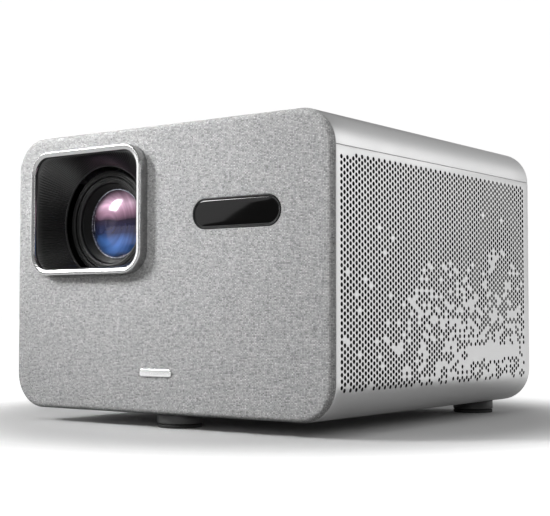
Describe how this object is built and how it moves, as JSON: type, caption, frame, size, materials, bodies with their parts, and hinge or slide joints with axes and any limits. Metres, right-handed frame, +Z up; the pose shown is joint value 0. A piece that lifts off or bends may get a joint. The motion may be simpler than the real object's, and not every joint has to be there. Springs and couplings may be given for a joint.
{
  "type": "home projector",
  "caption": "Box-shaped home projector with rounded long edges, woven front, square metal lens bezel, sensor window, perforated sides, screw feet and rear sockets.",
  "frame": {"origin": "bottom centre of the whole object's box, on the surface it stands on", "axes": "+Z up, the lens and the fabric front face -Y, +X to the right seen from the front"},
  "size_m": [0.25, 0.259, 0.1839],
  "materials": {
    "cover_fabric": "melange woven, matt",
    "carrier_plastic": "moulded",
    "satin_metal": "satin silver",
    "bezel_metal": "satin, fine brushed",
    "hood_black": "matt black, ribbed",
    "lens_black": "satin black",
    "window_black": "gloss",
    "trim_black": "satin",
    "lens_glass": "coated",
    "ring_silver": "turned",
    "badge_metal": "satin",
    "foot_grey": "moulded, ribbed",
    "foot_rubber": "matt",
    "base_metal": "powder coat",
    "rear_plastic": "fine texture",
    "zinc_steel": "zinc plated",
    "brass": "turned",
    "board_green": "printed circuit board",
    "heatsink_alu": "extruded",
    "copper_pipe": "copper tube",
    "engine_magnesium": "cast light metal",
    "fan_black": "moulded",
    "connector_steel": "nickel plated",
    "socket_black": "moulded",
    "filter_black": "fine mesh",
    "speaker_black": "moulded",
    "key_grey": "fine texture",
    "flex_amber": "flexible circuit",
    "gear_white": "acetal"
  },
  "bodies": {
    "cabinet": {"audio_jack": "socket_black", "base_plate": "base_metal", "case_screws": "zinc_steel", "chassis_posts": "zinc_steel", "chassis_shelf": "zinc_steel", "dmd_board": "board_green", "dmd_heatsink": "heatsink_alu", "exhaust_fan_frame": "fan_black", "focus_motor": "connector_steel", "foot_inserts": "brass", "front_badge": "badge_metal", "front_carrier": "carrier_plastic", "front_fabric": "cover_fabric", "hdmi_ports": "connector_steel", "heat_pipes": "copper_pipe", "intake_fan_frame": "fan_black", "io_plate": "connector_steel", "ir_window": "window_black", "ir_window_trim": "trim_black", "keypad_board": "board_green", "led_heatsink": "heatsink_alu", "led_modules": "socket_black", "lens_barrel": "lens_black", "lens_bezel": "bezel_metal", "lens_hood": "hood_black", "light_engine_housing": "engine_magnesium", "light_engine_lid": "engine_magnesium", "main_board": "board_green", "power_board": "board_green", "power_inlet": "socket_black", "rear_brackets": "zinc_steel", "rear_lens_glass": "lens_glass", "rear_panel": "rear_plastic", "sensor_board": "board_green", "side_filters": "filter_black", "side_panel_left": "satin_metal", "side_panel_right": "satin_metal", "speaker_boxes": "speaker_black", "speaker_drivers": "speaker_black", "top_cover": "satin_metal", "usb_port": "connector_steel", "video_flex_cable": "flex_amber"},
    "focus_ring": {"focus_ring": "lens_black"},
    "front_lens_group": {"front_lens_cell": "lens_black", "front_lens_glass": "lens_glass", "lens_retaining_ring": "ring_silver", "inner_lens_glass": "lens_glass"},
    "focus_pinion": {"focus_pinion": "gear_white"},
    "intake_fan_impeller": {"intake_fan_impeller": "fan_black"},
    "exhaust_fan_impeller": {"exhaust_fan_impeller": "fan_black"},
    "power_button": {"power_button": "key_grey"},
    "menu_button": {"menu_button": "key_grey"},
    "minus_button": {"minus_button": "key_grey"},
    "plus_button": {"plus_button": "key_grey"},
    "front_foot_pad": {"front_foot_pad": "foot_rubber"},
    "front_foot_screw": {"front_foot_screw": "foot_grey"},
    "rear_right_foot_pad": {"rear_right_foot_pad": "foot_rubber"},
    "rear_right_foot_screw": {"rear_right_foot_screw": "foot_grey"},
    "rear_left_foot_pad": {"rear_left_foot_pad": "foot_rubber"},
    "rear_left_foot_screw": {"rear_left_foot_screw": "foot_grey"}
  },
  "joints": [
    {"name": "focus_turn", "type": "hinge", "parent": "cabinet", "child": "focus_ring", "pos_m": [-0.0582, -0.09285, 0.1275], "axis": [0, 1, 0], "range_deg": [-45, 45]},
    {"name": "focus_travel", "type": "slide", "parent": "cabinet", "child": "front_lens_group", "axis": [0, 1, 0], "range_m": [-0.0012, 0.0012]},
    {"name": "focus_drive", "type": "hinge", "parent": "cabinet", "child": "focus_pinion", "pos_m": [-0.02127, -0.07285, 0.11406], "axis": [0, 1, 0], "range_deg": [-275, 275]},
    {"name": "intake_fan_spin", "type": "hinge", "parent": "cabinet", "child": "intake_fan_impeller", "pos_m": [0.11, -0.04485, 0.108], "axis": [1, 0, 0], "continuous": true},
    {"name": "exhaust_fan_spin", "type": "hinge", "parent": "cabinet", "child": "exhaust_fan_impeller", "pos_m": [-0.11, 0.07415, 0.108], "axis": [-1, 0, 0], "continuous": true},
    {"name": "power_press", "type": "slide", "parent": "cabinet", "child": "power_button", "axis": [0, -1, 0], "range_m": [0, 0.0008], "stiffness_N_per_m": 600, "springref_m": -0.0004},
    {"name": "menu_press", "type": "slide", "parent": "cabinet", "child": "menu_button", "axis": [0, -1, 0], "range_m": [0, 0.0008], "stiffness_N_per_m": 600, "springref_m": -0.0004},
    {"name": "minus_press", "type": "slide", "parent": "cabinet", "child": "minus_button", "axis": [0, -1, 0], "range_m": [0, 0.0008], "stiffness_N_per_m": 600, "springref_m": -0.0004},
    {"name": "plus_press", "type": "slide", "parent": "cabinet", "child": "plus_button", "axis": [0, -1, 0], "range_m": [0, 0.0008], "stiffness_N_per_m": 600, "springref_m": -0.0004},
    {"name": "front_foot_rise", "type": "slide", "parent": "cabinet", "child": "front_foot_pad", "axis": [0, 0, -1], "range_m": [0, 0.01]},
    {"name": "front_foot_turn", "type": "hinge", "parent": "front_foot_pad", "child": "front_foot_screw", "pos_m": [0, -0.10315, 0.005], "axis": [0, 0, -1], "range_deg": [0, 2890]},
    {"name": "rear_right_foot_rise", "type": "slide", "parent": "cabinet", "child": "rear_right_foot_pad", "axis": [0, 0, -1], "range_m": [0, 0.01]},
    {"name": "rear_right_foot_turn", "type": "hinge", "parent": "rear_right_foot_pad", "child": "rear_right_foot_screw", "pos_m": [0.0895, 0.11105, 0.005], "axis": [0, 0, -1], "range_deg": [0, 2890]},
    {"name": "rear_left_foot_rise", "type": "slide", "parent": "cabinet", "child": "rear_left_foot_pad", "axis": [0, 0, -1], "range_m": [0, 0.01]},
    {"name": "rear_left_foot_turn", "type": "hinge", "parent": "rear_left_foot_pad", "child": "rear_left_foot_screw", "pos_m": [-0.0895, 0.11105, 0.005], "axis": [0, 0, -1], "range_deg": [0, 2890]}
  ],
  "couplings": [
    {"joint": "focus_travel", "follows": "focus_turn", "m_per_rad": 0.0015},
    {"joint": "focus_drive", "follows": "focus_turn", "ratio": -6},
    {"joint": "front_foot_turn", "follows": "front_foot_rise", "rad_per_m": 5026.5},
    {"joint": "rear_right_foot_turn", "follows": "rear_right_foot_rise", "rad_per_m": 5026.5},
    {"joint": "rear_left_foot_turn", "follows": "rear_left_foot_rise", "rad_per_m": 5026.5}
  ]
}
